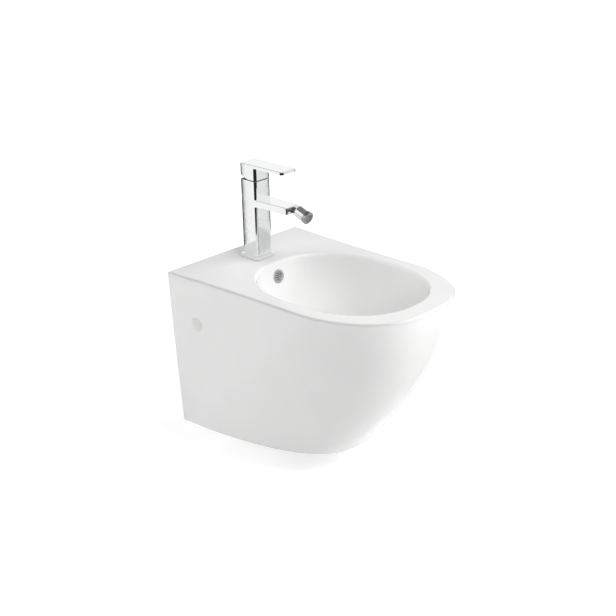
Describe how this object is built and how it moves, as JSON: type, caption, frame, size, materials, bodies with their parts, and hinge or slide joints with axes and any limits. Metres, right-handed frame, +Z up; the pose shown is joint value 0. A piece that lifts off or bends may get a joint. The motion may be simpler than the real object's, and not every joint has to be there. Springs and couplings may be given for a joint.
{
  "type": "wall hung bidet",
  "caption": "Wall hung ceramic bidet with a deep oval bowl, a slim single lever tap with a swivelling spray nozzle, a click plug waste and a bottle trap.",
  "frame": {"origin": "on the wall plane, midway between the two wall studs, 96 mm below the rim", "axes": "+X to the right seen from the front, +Y into the wall, +Z up; the bowl's front points along -Y"},
  "size_m": [0.3598, 0.5099, 0.529],
  "materials": {
    "glaze": "smooth white glaze, glossy",
    "chrome": "polished chrome plating",
    "zinc_steel": "zinc plated steel",
    "brass": "plain machined brass",
    "rubber": "matt black rubber",
    "white_plastic": "smooth white moulded plastic",
    "dark_plastic": "dark moulded plastic",
    "grey_plastic": "grey moulded plastic",
    "disc_ceramic": "lapped technical ceramic"
  },
  "bodies": {
    "fixture": {"ceramic_body": "glaze", "wall_bracket_left": "zinc_steel", "wall_bracket_right": "zinc_steel", "wall_stud_left": "zinc_steel", "wall_stud_right": "zinc_steel", "wall_washer_left": "zinc_steel", "wall_washer_right": "zinc_steel", "wall_nut_left": "zinc_steel", "wall_nut_right": "zinc_steel", "side_screw_left": "zinc_steel", "side_screw_right": "zinc_steel", "side_bush_left": "grey_plastic", "side_bush_right": "grey_plastic", "side_cap_left": "white_plastic", "side_cap_right": "white_plastic", "tap_base_gasket": "rubber", "tap_base_plate": "chrome", "tap_body": "chrome", "tap_rubber_horseshoe": "rubber", "tap_steel_horseshoe": "zinc_steel", "tap_fixing_stud": "brass", "tap_fixing_nut": "brass", "cartridge_seal": "rubber", "cartridge_housing": "grey_plastic", "cartridge_fixed_disc": "disc_ceramic", "cartridge_nut": "brass", "spout_ball_joint": "chrome", "waste_body": "chrome", "waste_flange_seal": "rubber", "waste_lower_washer": "rubber", "waste_backnut": "brass", "plug_click_sleeve": "brass", "plug_spring": "zinc_steel", "trap_inlet_nut": "white_plastic", "trap_inlet_seal": "rubber", "trap_body": "white_plastic", "trap_dip_tube": "white_plastic", "trap_cup": "white_plastic", "trap_cup_seal": "rubber", "trap_outlet_nut": "white_plastic", "trap_outlet_seal": "rubber", "trap_outlet_tube": "white_plastic", "overflow_ring": "chrome", "overflow_grille": "dark_plastic", "overflow_sleeve": "grey_plastic"},
    "turner": {"cartridge_turner": "white_plastic"},
    "lever": {"tap_handle": "chrome", "cartridge_stem": "brass", "handle_grub_screw": "zinc_steel", "handle_screw_cover": "grey_plastic"},
    "disc": {"cartridge_moving_disc": "disc_ceramic"},
    "nozzle_seat": {"nozzle_seat_ring": "white_plastic"},
    "nozzle": {"nozzle_housing": "chrome", "nozzle_washer": "rubber", "nozzle_aerator": "grey_plastic", "nozzle_collar": "chrome"},
    "plug": {"plug_cap": "chrome", "plug_seal": "rubber", "plug_stem": "brass"}
  },
  "joints": [
    {"name": "lever_turn", "type": "hinge", "parent": "fixture", "child": "turner", "pos_m": [0, -0.068, 0.239], "axis": [0, 0, 1], "range_deg": [-45, 45]},
    {"name": "lever_lift", "type": "hinge", "parent": "turner", "child": "lever", "pos_m": [0, -0.068, 0.239], "axis": [-1, 0, 0], "range_deg": [0, 20]},
    {"name": "disc_slide", "type": "slide", "parent": "turner", "child": "disc", "axis": [0, -1, 0], "range_m": [0, 0.0035]},
    {"name": "nozzle_swing", "type": "hinge", "parent": "fixture", "child": "nozzle_seat", "pos_m": [0, -0.1875, 0.213], "axis": [0, 0, 1], "range_deg": [-20, 20]},
    {"name": "nozzle_tilt", "type": "hinge", "parent": "nozzle_seat", "child": "nozzle", "pos_m": [0, -0.1875, 0.213], "axis": [1, 0, 0], "range_deg": [-20, 10]},
    {"name": "plug_rise", "type": "slide", "parent": "fixture", "child": "plug", "axis": [0, 0, 1], "range_m": [0, 0.008], "deforming": ["plug_spring"]}
  ],
  "couplings": [
    {"joint": "disc_slide", "follows": "lever_lift", "m_per_rad": 0.0092}
  ]
}
